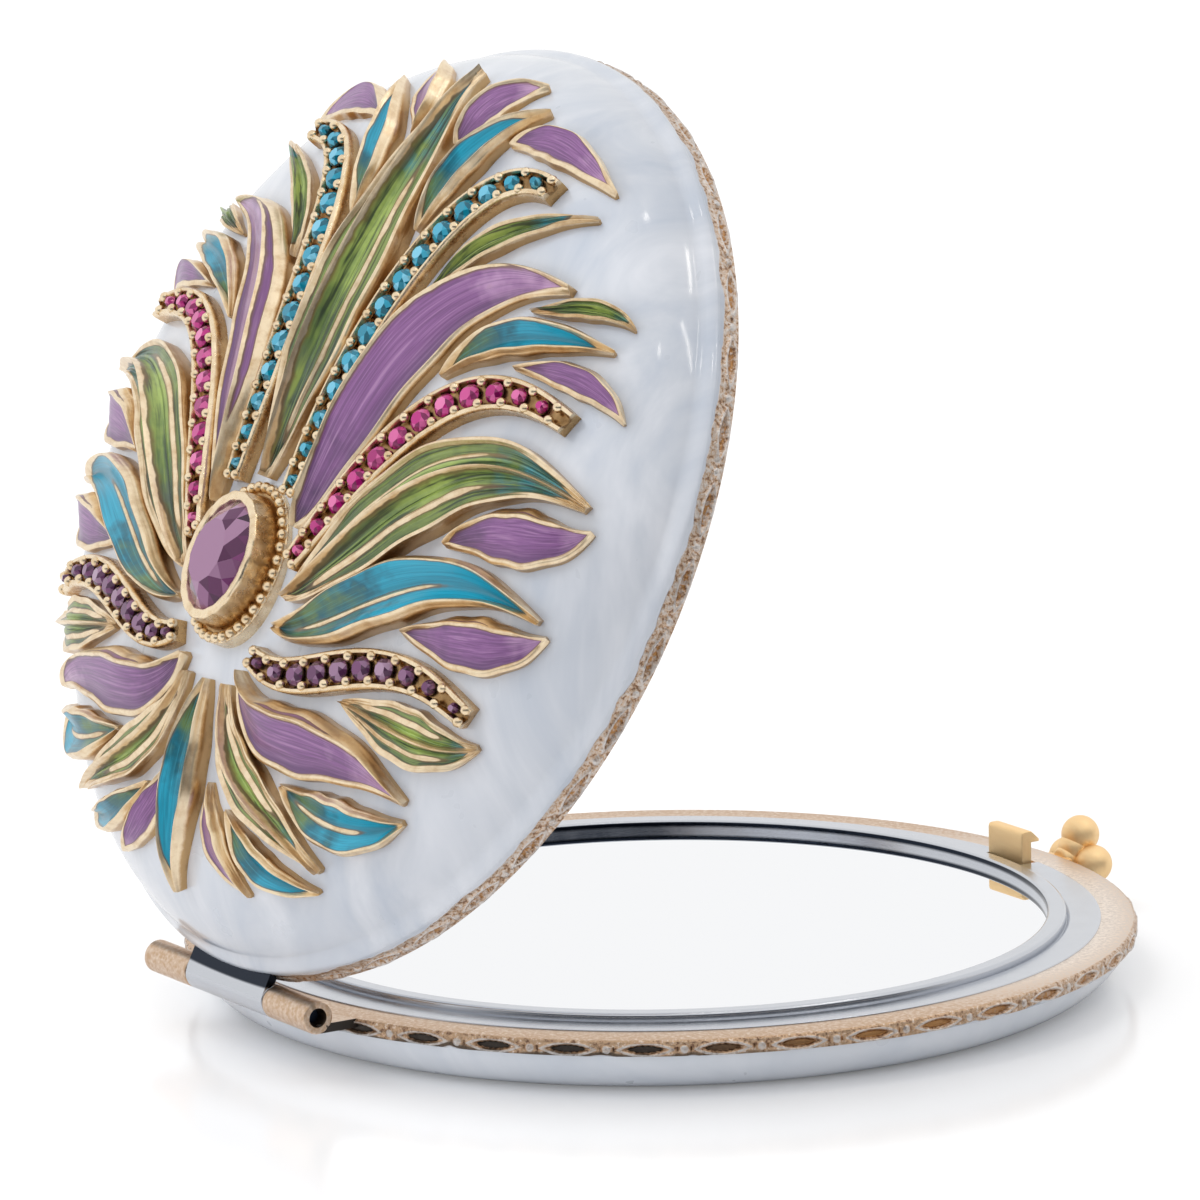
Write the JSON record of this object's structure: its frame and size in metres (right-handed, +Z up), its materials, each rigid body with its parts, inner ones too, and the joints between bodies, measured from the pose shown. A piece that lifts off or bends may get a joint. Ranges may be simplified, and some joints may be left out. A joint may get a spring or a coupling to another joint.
{
  "type": "compact mirror",
  "caption": "Round hinged compact mirror: domed enamel lid with jewelled leaf relief, gilt rims, a mirror in each half and a push-button latch.",
  "frame": {"origin": "centre of the flat foot, on the surface that the compact rests on", "axes": "+Z up, +Y towards the hinge, -Y towards the latch button, X along the hinge pin"},
  "size_m": [0.07, 0.0814, 0.0697],
  "materials": {
    "pearl_enamel": "glossy pearl enamel on a cast plate",
    "gilt_rim": "antique gilt with a stamped ornament",
    "polished_steel": "polished bright",
    "mirror_glass": "silvered glass",
    "backing_card": "plain",
    "spring_steel": "satin",
    "gilt_cast": "antique gilt casting with patina in the recesses",
    "green_enamel": "translucent enamel with gilt edges",
    "teal_enamel": "translucent enamel with gilt edges",
    "violet_enamel": "translucent enamel with gilt edges",
    "teal_crystal": "faceted glass, foiled back",
    "magenta_crystal": "faceted glass, foiled back",
    "amethyst_crystal": "faceted glass, foiled back"
  },
  "bodies": {
    "base": {"base_plate": "pearl_enamel", "base_frame": "gilt_rim", "base_bezel": "polished_steel", "base_mirror": "mirror_glass", "base_pad": "backing_card", "hinge_knuckle_left": "gilt_rim", "hinge_knuckle_right": "gilt_rim", "hinge_pin": "spring_steel", "latch_spring": "spring_steel"},
    "latch": {"latch_hook": "gilt_cast", "thumb_button": "gilt_cast"},
    "lid": {"lid_frame": "gilt_rim", "lid_plate": "pearl_enamel", "lid_bezel": "polished_steel", "lid_mirror": "mirror_glass", "lid_pad": "backing_card", "lid_backing": "spring_steel", "hinge_knuckle_lid": "polished_steel", "latch_strike": "spring_steel", "green_leaves": "green_enamel", "violet_leaves": "violet_enamel", "teal_leaves": "teal_enamel", "jewel_ribbons": "gilt_cast", "teal_crystals": "teal_crystal", "magenta_crystals": "magenta_crystal", "amethyst_crystals": "amethyst_crystal", "stone_setting": "gilt_cast", "centre_stone": "amethyst_crystal"}
  },
  "joints": [
    {"name": "lid_hinge", "type": "hinge", "parent": "base", "child": "lid", "pos_m": [0, 0.0363, 0.005], "axis": [-1, 0, 0], "range_deg": [-64, 56]},
    {"name": "button_press", "type": "slide", "parent": "base", "child": "latch", "axis": [0, 1, 0], "range_m": [0, 0.0008], "stiffness_N_per_m": 1500, "springref_m": -0.0006, "deforming": ["latch_spring"]}
  ]
}
